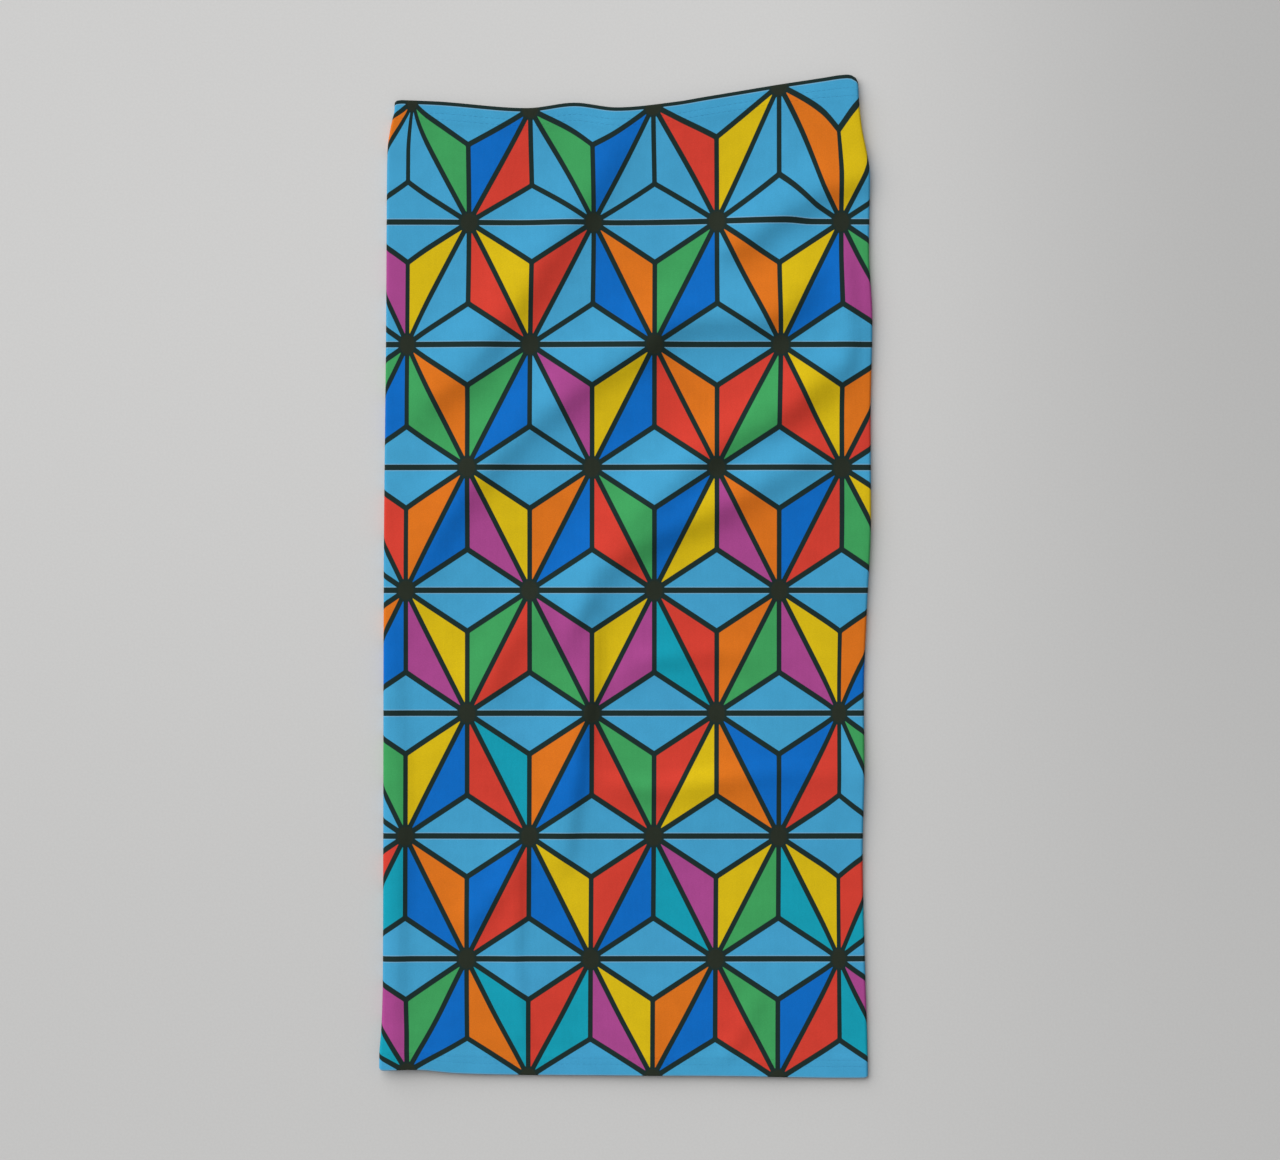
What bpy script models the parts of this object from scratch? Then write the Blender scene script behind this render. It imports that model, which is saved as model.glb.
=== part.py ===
"""Neck gaiter for skiing: a tube of printed stretch knit that lies flat.

One panel is rolled into a tube and its side edges are butted at the centre back in a
flatlock seam. Both ends are turned in and coverstitched, and a folded care label is caught
in the back seam, inside. Every sewing thread is a strip that follows the cloth.

Metres. The gaiter rests on z = 0 with the back seam down, +Y runs to its top end and +Z
points out of its front. A point of the cloth is given by its station around the tube, by v,
the distance down from the top fold, and by n, the depth below the cloth's outer face.
"""

import math

import bpy
import numpy as np

MM = 0.001

# Driving dimensions
HALF_WIDTH = 123.5 * MM  # of the flat tube, before its outline pulls in or out
LENGTH = 496.5 * MM  # from fold to fold, along the cloth
TOP_Y = 242.1 * MM  # the top fold, before its outline rises or dips
CLOTH = 0.5 * MM
GAP = 0.3 * MM  # between things that touch
THREAD = 0.25 * MM  # how thick a sewn thread lies
SIDE_RADIUS = 2.6 * MM  # outer radius where the flat tube turns over at each side
CROWN = 10.6 * MM  # height of the front layer's outer face above the table
CROWN_SLOPE = 30 * MM  # width of the slope between a side fold and the crown
HEM_DEPTH = 10.5 * MM

# The outline of the gaiter as it lies. The top and bottom edges are y at x, and the side
# edges are x at y.
TOP_EDGE = (
    (-123.5 * MM, 239.5 * MM),
    (-120.0 * MM, 241.1 * MM),
    (-100.0 * MM, 240.5 * MM),
    (-50.0 * MM, 236.8 * MM),
    (-26.0 * MM, 239.5 * MM),
    (-5.0 * MM, 237.1 * MM),
    (25.0 * MM, 239.9 * MM),
    (41.0 * MM, 242.6 * MM),
    (89.0 * MM, 250.5 * MM),
    (112.0 * MM, 253.6 * MM),
    (117.0 * MM, 254.1 * MM),
    (121.0 * MM, 252.4 * MM),
    (123.5 * MM, 249.3 * MM),
)
BOTTOM_EDGE = (
    (-123.5 * MM, -249.0 * MM),
    (-120.5 * MM, -250.1 * MM),
    (-108.0 * MM, -249.8 * MM),
    (-85.0 * MM, -251.8 * MM),
    (-60.0 * MM, -252.5 * MM),
    (60.0 * MM, -253.3 * MM),
    (108.0 * MM, -254.2 * MM),
    (120.5 * MM, -254.2 * MM),
    (123.5 * MM, -253.2 * MM),
)
LEFT_EDGE = (
    (-254.3 * MM, -124.8 * MM),
    (-243.0 * MM, -124.8 * MM),
    (-228.0 * MM, -123.8 * MM),
    (-200.0 * MM, -123.1 * MM),
    (0.0 * MM, -122.7 * MM),
    (130.0 * MM, -121.5 * MM),
    (200.0 * MM, -121.1 * MM),
    (216.0 * MM, -120.8 * MM),
    (224.0 * MM, -119.8 * MM),
    (231.0 * MM, -118.4 * MM),
    (236.0 * MM, -117.3 * MM),
    (254.3 * MM, -117.0 * MM),
)
RIGHT_EDGE = (
    (-254.3 * MM, 122.6 * MM),
    (-240.0 * MM, 122.4 * MM),
    (-200.0 * MM, 121.2 * MM),
    (-140.0 * MM, 119.9 * MM),
    (-95.0 * MM, 120.8 * MM),
    (-60.0 * MM, 120.5 * MM),
    (-20.0 * MM, 121.9 * MM),
    (30.0 * MM, 124.1 * MM),
    (80.0 * MM, 123.9 * MM),
    (130.0 * MM, 124.8 * MM),
    (165.0 * MM, 123.1 * MM),
    (203.0 * MM, 123.6 * MM),
    (214.0 * MM, 122.1 * MM),
    (228.0 * MM, 119.4 * MM),
    (245.0 * MM, 117.8 * MM),
    (254.3 * MM, 117.5 * MM),
)
EDGE_REACH = 80 * MM  # how far the outline of an end carries into the cloth
SIDE_REACH = 30 * MM  # the same for a side
CORNER_X = 117 * MM  # where the ends begin to round off into the sides

# Stitching
HEM_NEEDLE_AT = (6.0 * MM, 9.2 * MM)  # the two needle lines, from the fold
SEAM_NEEDLE_PITCH = 1.8 * MM  # between neighbouring needle lines of the flatlock
SEAM_NEEDLES = 4
NEEDLE_WIDTH = 0.5 * MM
LOOPER_WIDTH = 4.6 * MM  # over both needle lines of a hem and its raw edge
SEAM_WIDTH = 6.4 * MM
SEAM_SPLIT = GAP  # between the butted edges of the panel

# The back layer lies on its outer threads, so it is lifted by them along the hems and seam.
HEM_LIFT = GAP + THREAD
HEM_LIFT_ENDS = (12 * MM, 22 * MM)
SEAM_LIFT = 2 * (GAP + THREAD)
SEAM_LIFT_ENDS = (5 * MM, 9 * MM)

# Care label, folded in half, with both its ends in the seam
LABEL_LENGTH = 25 * MM
LABEL_HEIGHT = 18 * MM
LABEL_BELOW_FOLD = 24 * MM
LABEL_PLY = 0.2 * MM

# How finely the shape is cut into flat facets
EDGE_X = HALF_WIDTH - SIDE_RADIUS  # where the side folds begin
ARC_STEPS = 6
FRONT_STEPS = 20
BACK_X = (15 * MM, 28 * MM, 60 * MM, 92 * MM, CORNER_X)
FOLD_ARC_STEPS = 4
NEAR_FOLD_ROWS = (*HEM_NEEDLE_AT, *HEM_LIFT_ENDS, 42 * MM, 62 * MM, 85 * MM)
MIDDLE_ROWS = 13
SHARP_ANGLE = math.radians(50)  # a sharper corner than this is not shaded smooth


def smooth(t):
    t = np.clip(t, 0, 1)
    return t * t * (3 - 2 * t)


def through(points, at):
    """The value at `at` of a smooth curve through the points that never overshoots them."""
    knots, values = np.array(points).T
    rises = np.diff(values) / np.diff(knots)
    turns_back = rises[:-1] * rises[1:] <= 0
    total = np.where(turns_back, 1.0, rises[:-1] + rises[1:])
    inner = np.where(turns_back, 0.0, 2 * rises[:-1] * rises[1:] / total)
    slopes = np.concatenate([rises[:1], inner, rises[-1:]])
    at = np.clip(at, knots[0], knots[-1])
    i = np.clip(np.searchsorted(knots, at) - 1, 0, len(knots) - 2)
    step = knots[i + 1] - knots[i]
    t = (at - knots[i]) / step
    return (
        values[i] * (1 - smooth(t))
        + values[i + 1] * smooth(t)
        + step * t * (1 - t) * (slopes[i] * (1 - t) - slopes[i + 1] * t)
    )


def back_lift(x, v):
    """How far threads under the back layer lift it."""
    from_fold = np.minimum(v, LENGTH - v)
    hem = np.interp(from_fold, HEM_LIFT_ENDS, (1, 0))
    seam = np.interp(abs(x), SEAM_LIFT_ENDS, (1, 0))
    return seam * SEAM_LIFT + (1 - seam) * hem * HEM_LIFT


def crown(x):
    """Height of the front layer's outer face."""
    inwards = smooth((EDGE_X - abs(x)) / CROWN_SLOPE)
    return 2 * SIDE_RADIUS + (CROWN - 2 * SIDE_RADIUS) * inwards


def cloth_point(station, v, n):
    """The point at a station around the tube, v below the top fold and n deep."""
    x, z, inward_x, inward_z, on_back = station
    from_bottom = LENGTH - v
    rise = through(TOP_EDGE, x) - TOP_Y
    drop = through(BOTTOM_EDGE, x) - (TOP_Y - LENGTH)
    y = TOP_Y - v
    y += rise * (1 - smooth(v / EDGE_REACH)) + drop * (1 - smooth(from_bottom / EDGE_REACH))
    near_side = smooth((abs(x) - HALF_WIDTH + SIDE_REACH) / SIDE_REACH)
    edge = through(RIGHT_EDGE, y) if x > 0 else through(LEFT_EDGE, y)
    shift = near_side * (edge - math.copysign(HALF_WIDTH, x))
    return (
        float(x + shift + n * inward_x),
        float(y),
        float(z + on_back * back_lift(x, v) + n * inward_z),
    )


def back_station(x):
    return (x, 0.0, 0.0, 1.0, 1.0)


def front_station(x):
    return (x, float(crown(x)), 0.0, -1.0, 0.0)


def side_station(side, angle):
    """On a side fold, from the back layer at angle 0 to the front layer at angle pi."""
    out, down = math.sin(angle), math.cos(angle)
    return (
        side * (EDGE_X + SIDE_RADIUS * out),
        SIDE_RADIUS * (1 - down),
        -side * out,
        down,
        (1 + down) / 2,
    )


def panel_stations():
    """Once round the tube, from the seam over the left side and the front to the seam."""
    back = [SEAM_SPLIT / 2, *SEAM_LIFT_ENDS, *BACK_X]
    turns = [math.pi * i / ARC_STEPS for i in range(ARC_STEPS + 1)]
    fronts = np.linspace(-CORNER_X, CORNER_X, FRONT_STEPS + 1)
    return (
        [back_station(-x) for x in back]
        + [side_station(-1, angle) for angle in turns]
        + [front_station(float(x)) for x in fronts]
        + [side_station(1, angle) for angle in reversed(turns)]
        + [back_station(x) for x in reversed(back)]
    )


def cloth_rows():
    """Distances from the top fold at which the plain cloth has a row of points."""
    near_top = list(NEAR_FOLD_ROWS)
    near_bottom = [LENGTH - v for v in reversed(NEAR_FOLD_ROWS)]
    middle = np.linspace(near_top[-1], near_bottom[0], MIDDLE_ROWS)
    return near_top + middle[1:-1].tolist() + near_bottom


def turned_end():
    """Outline of a hem as (distance from its fold, depth), from the outer face round the
    fold, over the turned-in ply and its raw edge, and back to the inner face."""
    outer = CLOTH + GAP / 2
    inner = GAP / 2
    points = []
    for i in range(FOLD_ARC_STEPS + 1):
        angle = math.pi * i / FOLD_ARC_STEPS
        points.append((outer - outer * math.sin(angle), outer - outer * math.cos(angle)))
    turned_in = [*HEM_NEEDLE_AT, HEM_DEPTH]
    points += [(distance, 2 * outer) for distance in turned_in]
    points += [(distance, 2 * outer - CLOTH) for distance in reversed(turned_in)]
    for i in range(FOLD_ARC_STEPS + 1):
        angle = math.pi * (1 - i / FOLD_ARC_STEPS)
        points.append((outer - inner * math.sin(angle), outer - inner * math.cos(angle)))
    return points


def panel_outline():
    """The cloth cut lengthwise, as a closed loop of (v, n)."""
    rows = cloth_rows()
    hem = turned_end()
    return (
        [(v, 0.0) for v in rows]
        + [(LENGTH - distance, depth) for distance, depth in hem]
        + [(v, CLOTH) for v in reversed(rows)]
        + list(reversed(hem))
    )


def swept_body(name, stations, outline, closed=False):
    """Sweeps a closed (v, n) outline along the stations, once round or capped at its ends."""
    count = len(outline)
    vertices = [cloth_point(station, v, n) for station in stations for v, n in outline]
    faces = []
    for i in range(len(stations) if closed else len(stations) - 1):
        here = i * count
        there = (i + 1) % len(stations) * count
        for j in range(count):
            k = (j + 1) % count
            faces.append((here + j, here + k, there + k, there + j))
    if not closed:
        last = (len(stations) - 1) * count
        faces.append(tuple(range(count - 1, -1, -1)))
        faces.append(tuple(range(last, last + count)))
    mesh = bpy.data.meshes.new(name)
    mesh.from_pydata(vertices, [], faces)
    mesh.shade_smooth()
    mesh.set_sharp_from_angle(angle=SHARP_ANGLE)
    body = bpy.data.objects.new(name, mesh)
    bpy.context.scene.collection.objects.link(body)
    return body


def band(low_v, high_v, low_n, high_n):
    """A rectangular (v, n) outline, in the same turning sense as the panel's."""
    return [(low_v, low_n), (high_v, low_n), (high_v, high_n), (low_v, high_n)]


def hem_ring(name, from_fold, width, top_n, at_bottom):
    """A strip once round a hem, with its middle at a distance from the hem's fold."""
    middle = LENGTH - from_fold if at_bottom else from_fold
    outline = band(middle - width / 2, middle + width / 2, top_n, top_n + THREAD)
    return swept_body(name, panel_stations(), outline, closed=True)


def seam_strip(name, centre_x, width, top_n):
    """A strip down the back seam, between the hems."""
    start = HEM_DEPTH + GAP
    rows = [start] + cloth_rows() + [LENGTH - start]
    outline = [(v, top_n) for v in rows] + [(v, top_n + THREAD) for v in reversed(rows)]
    stations = [back_station(centre_x - width / 2), back_station(centre_x + width / 2)]
    return swept_body(name, stations[::-1], outline)


def material(name, colour, roughness):
    shader = bpy.data.materials.new(name)
    shader.use_nodes = True
    principled = shader.node_tree.nodes["Principled BSDF"]
    principled.inputs["Base Color"].default_value = (*colour, 1.0)
    principled.inputs["Roughness"].default_value = roughness
    principled.inputs["Metallic"].default_value = 0.0
    shader.diffuse_color = (*colour, 1.0)
    return shader


def build_panel():
    """One sheet, whose two side edges face each other across the split of the back seam."""
    return swept_body("knit_panel", panel_stations(), panel_outline())


def build_hem_threads(end, at_bottom):
    """The two needle threads on the outside of a hem and the looper thread inside it."""
    outer_needle, inner_needle = HEM_NEEDLE_AT
    on_outside = -(GAP + THREAD)
    under_both_plies = 2 * CLOTH + 2 * GAP
    strips = (
        ("_hem_needle_thread_outer", outer_needle, NEEDLE_WIDTH, on_outside),
        ("_hem_needle_thread_inner", inner_needle, NEEDLE_WIDTH, on_outside),
        ("_hem_looper_thread", (outer_needle + inner_needle) / 2, LOOPER_WIDTH, under_both_plies),
    )
    return [
        hem_ring(end + suffix, middle, width, top_n, at_bottom)
        for suffix, middle, width, top_n in strips
    ]


def build_seam_threads():
    threads = []
    for i in range(SEAM_NEEDLES):
        x = (i - (SEAM_NEEDLES - 1) / 2) * SEAM_NEEDLE_PITCH
        name = f"back_seam_needle_thread_{i + 1}"
        threads.append(seam_strip(name, x, NEEDLE_WIDTH, -(GAP + THREAD)))
    threads.append(seam_strip("back_seam_looper_thread", 0.0, SEAM_WIDTH, CLOTH + GAP))
    threads.append(seam_strip("back_seam_cover_thread", 0.0, SEAM_WIDTH, -2 * (GAP + THREAD)))
    return threads


def build_label():
    """Two plies joined by a fold at their far end, lying on the back layer beside the seam."""
    near = SEAM_WIDTH / 2 + GAP
    far = near + LABEL_LENGTH
    low_ply = CLOTH + GAP
    top_ply = low_ply + LABEL_PLY + GAP
    top_face = top_ply + LABEL_PLY
    fold_start = far - LABEL_PLY
    flat = [near, *SEAM_LIFT_ENDS, fold_start]
    section = [(x, low_ply) for x in flat] + [(far, low_ply), (far, top_face)]
    section += [(x, top_face) for x in reversed(flat)]
    section += [(x, top_ply) for x in flat]
    section += [(x, low_ply + LABEL_PLY) for x in reversed(flat)]
    ends = (LABEL_BELOW_FOLD, LABEL_BELOW_FOLD + LABEL_HEIGHT)
    count = len(section)
    vertices = [cloth_point(back_station(x), v, n) for v in ends for x, n in section]
    faces = [(j, (j + 1) % count, count + (j + 1) % count, count + j) for j in range(count)]
    faces += [tuple(range(count - 1, -1, -1)), tuple(range(count, 2 * count))]
    mesh = bpy.data.meshes.new("care_label")
    mesh.from_pydata(vertices, [], faces)
    label = bpy.data.objects.new("care_label", mesh)
    bpy.context.scene.collection.objects.link(label)
    return label


def clear_scene():
    for obj in list(bpy.data.objects):
        bpy.data.objects.remove(obj, do_unlink=True)


def main():
    clear_scene()
    knit = material("printed_knit", (0.05, 0.33, 0.57), 0.85)
    thread = material("blue_thread", (0.03, 0.20, 0.38), 0.6)
    label_satin = material("white_label", (0.85, 0.85, 0.83), 0.55)
    build_panel().data.materials.append(knit)
    for strip in (
        build_hem_threads("top", at_bottom=False)
        + build_hem_threads("bottom", at_bottom=True)
        + build_seam_threads()
    ):
        strip.data.materials.append(thread)
    build_label().data.materials.append(label_satin)


main()
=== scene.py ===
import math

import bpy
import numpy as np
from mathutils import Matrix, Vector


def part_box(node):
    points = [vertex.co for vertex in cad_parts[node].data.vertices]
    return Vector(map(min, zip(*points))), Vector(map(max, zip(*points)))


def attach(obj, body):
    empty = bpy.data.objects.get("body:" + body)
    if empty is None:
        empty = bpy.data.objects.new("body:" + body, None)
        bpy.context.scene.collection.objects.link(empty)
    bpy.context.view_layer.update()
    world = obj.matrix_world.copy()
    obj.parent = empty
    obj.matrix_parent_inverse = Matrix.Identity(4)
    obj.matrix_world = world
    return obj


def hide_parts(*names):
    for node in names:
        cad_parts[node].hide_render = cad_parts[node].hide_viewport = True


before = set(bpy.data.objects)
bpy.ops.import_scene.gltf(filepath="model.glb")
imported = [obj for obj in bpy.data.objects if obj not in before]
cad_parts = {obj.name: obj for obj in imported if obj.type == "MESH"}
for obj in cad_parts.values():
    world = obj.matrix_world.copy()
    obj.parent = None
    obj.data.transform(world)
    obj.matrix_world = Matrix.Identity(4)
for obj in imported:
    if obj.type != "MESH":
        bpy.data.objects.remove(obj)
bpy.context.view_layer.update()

# A neck gaiter lying flat on a pale table, printed side up, seen from straight above.
#
# The cloth is one sheet. A point of it is given by u, the way round the tube from the middle
# of the front, by v, the way down from the top fold, and by n, the depth below its outer
# face. Lengths are in metres, and the tables below are in millimetres.

LOW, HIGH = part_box("knit_panel")
MM = 0.001

# ------------------------------------------------------------------ sizes of the cloth
LEFT_SIDE, RIGHT_SIDE = LOW.x, HIGH.x
BOTTOM_SIDE, TOP_SIDE = LOW.y, HIGH.y
HALF_WIDTH = 123.5 * MM  # before the outline's curves
LENGTH = 496.5 * MM  # from the top fold to the bottom one
TOP_Y = TOP_SIDE - 12.2 * MM  # where the top fold would lie if it were straight
CLOTH = 0.5 * MM
PLY_GAP = 0.06 * MM  # between a hem's two plies
HEM_DEPTH = 10.5 * MM
HEM_NEEDLE_AT = (6.0 * MM, 9.2 * MM)  # the two needle lines of a hem, from its fold
SIDE_RADIUS = 1.3 * MM
SIDE_ARC = 5.2 * MM  # the cloth that goes round a side fold
EDGE_U = HALF_WIDTH - SIDE_RADIUS
BACK_U = EDGE_U + SIDE_ARC
SEAM_U = BACK_U + EDGE_U
SEAM_SPLIT = 0.3 * MM  # between the butted edges

# How the outline lies: mm in from the sides of the CAD model's box, at mm along each edge.
TOP_EDGE = ((-123.5, 13), (-100, 13.6), (-50, 17.3), (-26, 14.6), (-5, 17.0), (25, 14.2),
            (41, 11.5), (89, 3.6), (112, 0.5), (123.5, 0))
BOTTOM_EDGE = ((-123.5, 4), (-108, 4.4), (-85, 2.4), (-60, 1.7), (60, 0.9), (108, 0), (123.5, 0))
LEFT_EDGE = ((-254.3, 0), (-243, 0), (-228, 1), (-200, 1.7), (0, 2.1), (130, 3.3), (200, 3.7),
             (216, 4), (224, 5), (231, 6.4), (236, 7.5), (254.3, 7.8))
RIGHT_EDGE = ((-254.3, 2.2), (-240, 2.4), (-200, 3.6), (-140, 4.9), (-95, 4), (-60, 4.3),
              (-20, 2.9), (30, 0.7), (80, 0.9), (130, 0), (165, 1.7), (203, 1.2), (214, 2.7),
              (228, 5.4), (245, 7), (254.3, 7.3))
TOP_REACH = 80 * MM  # how far down the sheet its top edge's curve is felt
STEEP_TOP_REACH = 40 * MM  # the same where the edge is highest, beside the right side
STEEP_TOP_X = 80 * MM  # where that part begins, and how wide the change to it is
STEEP_TOP_BLEND = 30 * MM
BOTTOM_REACH = 38 * MM
SIDE_REACH = 25 * MM
# The rounding of the corners: how much each takes off, and over what width.
CORNER_DROPS = {("left", "top"): (1.6, 3.5), ("right", "top"): (4.8, 6.5),
                ("left", "bottom"): (1.2, 3), ("right", "bottom"): (1, 3)}
CORNER_REACH = 12 * MM
# Where the print is pulled sideways: u and v of the middle, its reach, and how far, in mm.
SLIDES = ((-130, 500, 42, 2.5), (0, 505, 125, -1.0), (-48, 62, 48, 1.3), (78, 124, 30, 0.9),
          (12, 0, 35, -0.6))
# How thick the tube lies at its side folds, in mm, at mm along each side.
LEFT_THICKNESS = ((-254.3, 2.9), (-215, 3.6), (80, 4.4), (215, 3.6), (254.3, 2.9))
RIGHT_THICKNESS = ((-254.3, 2.9), (-215, 3.4), (-160, 3.4), (-107, 5), (-60, 3.6), (35, 5.4),
                   (80, 4), (140, 5), (190, 4.2), (235, 5), (254.3, 3.6))

# ------------------------------------------------------------------ folds of the front
# Each is a crest through given points, its heights at the start, middle and end, and how
# far it falls away on its soft side, to the left of its direction, and on its steep side. All
# in mm.
FOLDS = (
    (((-113, 82), (-104, 87), (-95, 94), (-84, 103), (-72, 117), (-56, 140), (-39, 164),
      (-24, 186), (-13, 205), (-3, 223), (3, 237)), (3, 3.9, 1.6), 16.5, 9.5),
    (((-109, -21), (-104, 5), (-93, 26), (-84, 40), (-73, 53), (-55, 72), (-36, 87), (-15, 103),
      (6, 115), (23, 127), (45, 131), (66, 131), (80, 137), (92, 150), (101, 172)),
     (2.9, 4.1, 3.9), 16, 8.5),
    (((38, 167), (49, 166), (58, 169), (72, 179), (85, 187), (99, 195), (116, 201), (134, 204)),
     (2.1, 3.8, 2.6), 15, 7.5),
    (((-10, 20), (7, 34), (22, 46), (36, 58), (49, 68), (64, 76), (79, 84), (90, 93), (100, 101),
      (111, 112)), (5.2, 4, 5), 14, 9),
    (((107, 98), (112, 112), (113, 128), (112, 146), (109, 168)), (2.3, 1.4, 2.1), 8.5, 5),
    (((-44, -40), (-37, -24), (-25, -9), (-11, 6), (6, 17), (24, 26), (43, 34), (61, 43),
      (78, 53), (95, 61), (113, 67)), (1.9, 4.7, 2.9), 12.5, 9),
    (((-34, -41), (-29, -30), (-23, -19), (-14, -6)), (0.6, 2.2, 2.3), 6.5, 5.5),
    (((-34, -154), (-31, -140), (-28, -119), (-25, -97), (-22, -76), (-18, -50), (-17, -28),
      (-10, -10)), (1.4, 3.4, 2.1), 15, 5),
    (((-7, -62), (-4, -55), (1, -48), (9, -43), (24, -40), (42, -39), (62, -40), (84, -44)),
     (0.3, 1.6, 1), 7, 6.5),
    (((-18, -100), (-3, -105), (14, -107), (34, -105), (57, -101), (82, -99), (106, -101),
      (121, -104)), (2.1, 2.3, 0.6), 5, 7),
    (((-84, -180), (-69, -164), (-61, -153), (-54, -135)), (2, 2.1, 1.5), 9, 6),
    (((-48, -239), (-52, -225), (-54, -209), (-55, -187), (-54, -165), (-52, -140)),
     (1.3, 1, 2), 8.5, 2.5),
    (((-118, -250), (-116, -150), (-116, -90), (-119, -25)), (2.5, 1.4, 1.8), 10, 5.5),
    (((-72, -67), (-65, -45), (-55, -27), (-43, -10), (-37, 3)), (2.6, 1.9, 0.3), 13, 7.5),
    (((48, -246), (59, -230), (68, -210)), (0.7, 1, 0.8), 5.5, 4.5),
)

CREST_STEPS = 5  # how many steps a crest takes from one of its points to the next
CREST_TAPER = 0.25  # the share of its length over which a crest dies away at each end
CREST_START = 0.25  # how far along that taper it already is at its very end
PUFF = 0.8 * MM  # how far the front bulges above its side folds
PUFF_SLOPE = 55 * MM
# The slight unevenness of cloth that lies loose: how high each wave is, how far in from a side
# fold it takes to grow, and each wave's radians a metre across and along, and its phase.
WAVE_HEIGHT = 0.12 * MM
WAVE_MARGIN = 12 * MM
WAVES = ((61, 23, 0.4), (-38, 47, 1.9), (83, -71, 3.1), (29, 96, 5.2), (118, 34, 2.2))
CORNER_LIFT = 3.2 * MM  # how far the bottom left corner curls up off the table
CORNER_LIFT_REACH = 42 * MM
HEM_STEP = 0.25 * MM  # how much higher a hem's double cloth stands
HEM_STEP_FROM = 9 * MM  # how far from the fold that step begins, and how wide it is
HEM_STEP_WIDTH = 5 * MM
GROOVE_DEPTH = 0.04 * MM  # how deep a hem's needle line pulls the cloth in
GROOVE_WIDTH = 0.5 * MM
# How far the threads under the back layer hold it off the table at a hem and at the seam, how
# far from the fold or the seam's middle that reaches, and how wide its slope is.
HEM_LIFT, HEM_LIFT_REACH, HEM_LIFT_SLOPE = 0.25 * MM, 11 * MM, 8 * MM
SEAM_LIFT, SEAM_LIFT_REACH, SEAM_LIFT_SLOPE = 0.55 * MM, 3.5 * MM, 4 * MM

# How finely the sheet is divided
SIDE_COLUMNS = 13  # round a side fold
BACK_STEP = 5 * MM
FRONT_STEP = 2.6 * MM
SEAM_STEP = 1.2 * MM
SEAM_ZONE = 9 * MM  # how far from the seam its finer columns begin
FOLD_ROWS = 7  # round the fold of a hem
INNER_PLY_STEP = 1.6 * MM
PLAIN_STEP = 3 * MM  # between the hems
# Rows near a fold, in mm from it, close together where the stitching shapes the cloth.
HEM_ROWS = (1.2, 2.4, 3.6, 4.8, 5.4, 6.0, 6.6, 7.6, 8.4, 8.8, 9.2, 9.6, 10.2, 10.7, 11.2, 11.8,
            12.6, 14, 16.5)

# ------------------------------------------------------------------ the print
STAR_PITCH = 63.07 * MM
ROW_PITCH = 62.15 * MM
STAR_U = 14.4 * MM  # a star of the rows that start at the top fold
FIRST_ROW_V = 0.5 * MM
# The star lattice has equal sides before the print is stretched down the tube.
PRINT_STRETCH = 1.18
LINE_WIDTH = 2.41 * MM
HUB_RADIUS = 4.8 * MM
FRINGE_WIDTH = 0.55 * MM  # where the ink beside a line across the tube stops short of it
FRINGE_SHARE = 0.2  # how much of the bare yarn shows there
LINE_SOFTNESS = 0.12 * MM  # how far the edge of a line is blurred to either side
LINE_MELT = 0.6 * MM  # how much lines run together where they meet
INK = {
    "S": (66, 156, 199),
    "B": (13, 104, 190),
    "R": (206, 62, 49),
    "O": (214, 112, 29),
    "Y": (210, 180, 20),
    "G": (62, 156, 90),
    "P": (165, 70, 138),
    "T": (20, 153, 175),
}
LINE_INK = (28, 45, 43)
HUB_INK = (40, 46, 37)
BARE_YARN = (205, 210, 210)
# The coloured facets of each band, from the top. A pair of letters is one cell, half a star
# pitch wide: the facet above its slanted line, then the one below. The middle nine cells
# show on the front and the four on either side of them run on round the back.
FACETS = (
    "YB RS OG PS  OS GS BR GS BS RS YS OS YS  GP BO RS YT",
    "GS OB TY RB  PS YS YR RS OB GB OS YB GP  RS OT BY PG",
    "OR BY GS YP  GB OG GB PS YB OR RG YR OR  TB GS YR OB",
    "BG PY RT OS  RS OB YP OB GR BY OP BR YG  PS RB OT GY",
    "YT RO BG PR  OB YP GR PG YP RT OG YP OB  GY TR BP OG",
    "RS GB YO TP  GS YB TR OB GR RY BO BR GS  YP OG RT BY",
    "BO YP RG OB  RT OB BR YB RB PT YG YT RT  OB PY GR TO",
    "GY TR PB YG  PT GB TO RT YP OB GR BR PT  YG BO TR PY",
)
FIRST_CELL = -9  # counted from the cell to the right of the star at STAR_U


def smooth(t):
    t = np.clip(t, 0, 1)
    return t * t * (3 - 2 * t)


def through(points, at):
    """The value at `at` of a smooth curve through the points that never overshoots them."""
    knots, values = np.array(points, float).T * MM
    rises = np.diff(values) / np.diff(knots)
    turns_back = rises[:-1] * rises[1:] <= 0
    total = np.where(turns_back, 1.0, rises[:-1] + rises[1:])
    inner = np.where(turns_back, 0.0, 2 * rises[:-1] * rises[1:] / total)
    slopes = np.concatenate([rises[:1], inner, rises[-1:]])
    at = np.clip(at, knots[0], knots[-1])
    i = np.clip(np.searchsorted(knots, at) - 1, 0, len(knots) - 2)
    step = knots[i + 1] - knots[i]
    t = (at - knots[i]) / step
    return (
        values[i] * (1 - smooth(t))
        + values[i + 1] * smooth(t)
        + step * t * (1 - t) * (slopes[i] * (1 - t) - slopes[i + 1] * t)
    )


# ------------------------------------------------------------------ the shape of the cloth
def spread(points, steps):
    """Points along a smooth curve through a crest's own points."""
    points = np.array(points, float) * MM
    padded = np.vstack([2 * points[0] - points[1], points, 2 * points[-1] - points[-2]])
    found = []
    for i in range(len(points) - 1):
        a, b, c, d = padded[i : i + 4]
        for t in np.linspace(0, 1, steps, endpoint=False):
            bend = (c - a) * t + (2 * a - 5 * b + 4 * c - d) * t**2
            found.append(b + 0.5 * (bend + (3 * b - a - 3 * c + d) * t**3))
    found.append(points[-1])
    return np.array(found)


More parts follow.
